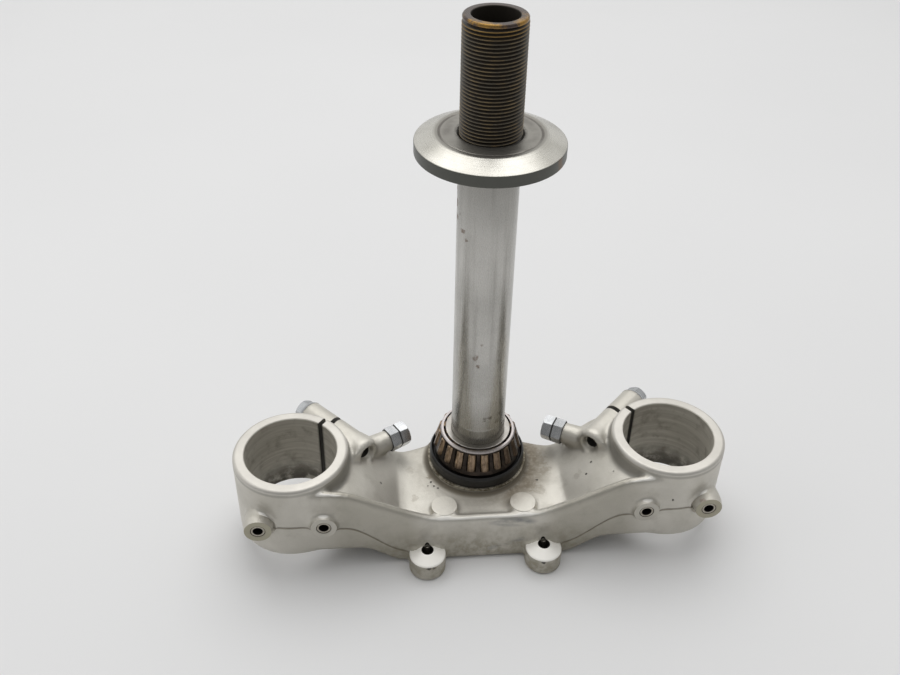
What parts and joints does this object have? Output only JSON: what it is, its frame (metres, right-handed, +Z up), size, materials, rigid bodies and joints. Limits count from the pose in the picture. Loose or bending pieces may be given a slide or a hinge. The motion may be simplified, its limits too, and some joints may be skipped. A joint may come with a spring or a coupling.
{
  "type": "motorcycle lower triple clamp",
  "caption": "Lower triple clamp of a motorcycle: a cast yoke with two split fork clamps, a threaded steering stem, the lower taper bearing and an adjuster collar.",
  "frame": {"origin": "on the stem axis, in the plane of the hub's machined lower face that the clamp stands on", "axes": "+Z up along the stem, -Y towards the front of the motorcycle, +X to the right of someone who looks at the front wall"},
  "size_m": [0.2338, 0.0878, 0.2507],
  "materials": {
    "cast_aluminium": "satin, cast",
    "stem_steel": "satin",
    "collar_steel": "turned",
    "bearing_steel": "ground",
    "roller_steel": "oiled",
    "rubber": "greasy",
    "insert_steel": "dull",
    "zinc_steel": "zinc plated"
  },
  "bodies": {
    "yoke": {"lower_clamp": "cast_aluminium", "steering_stem": "stem_steel", "adjuster_collar": "collar_steel", "bearing_inner_race": "bearing_steel", "dust_seal": "rubber", "seal_washer": "zinc_steel", "thread_inserts": "insert_steel", "pinch_bolt_left": "zinc_steel", "pinch_bolt_right": "zinc_steel", "stop_bolt_left": "zinc_steel", "stop_bolt_right": "zinc_steel", "stop_locknut_left": "zinc_steel", "stop_locknut_right": "zinc_steel"},
    "roller_set": {"bearing_cage": "bearing_steel", "bearing_rollers": "roller_steel"}
  },
  "joints": [
    {"name": "roller_set_spin", "type": "hinge", "parent": "yoke", "child": "roller_set", "pos_m": [0, 0, 0.037], "axis": [0, 0, 1], "continuous": true}
  ]
}
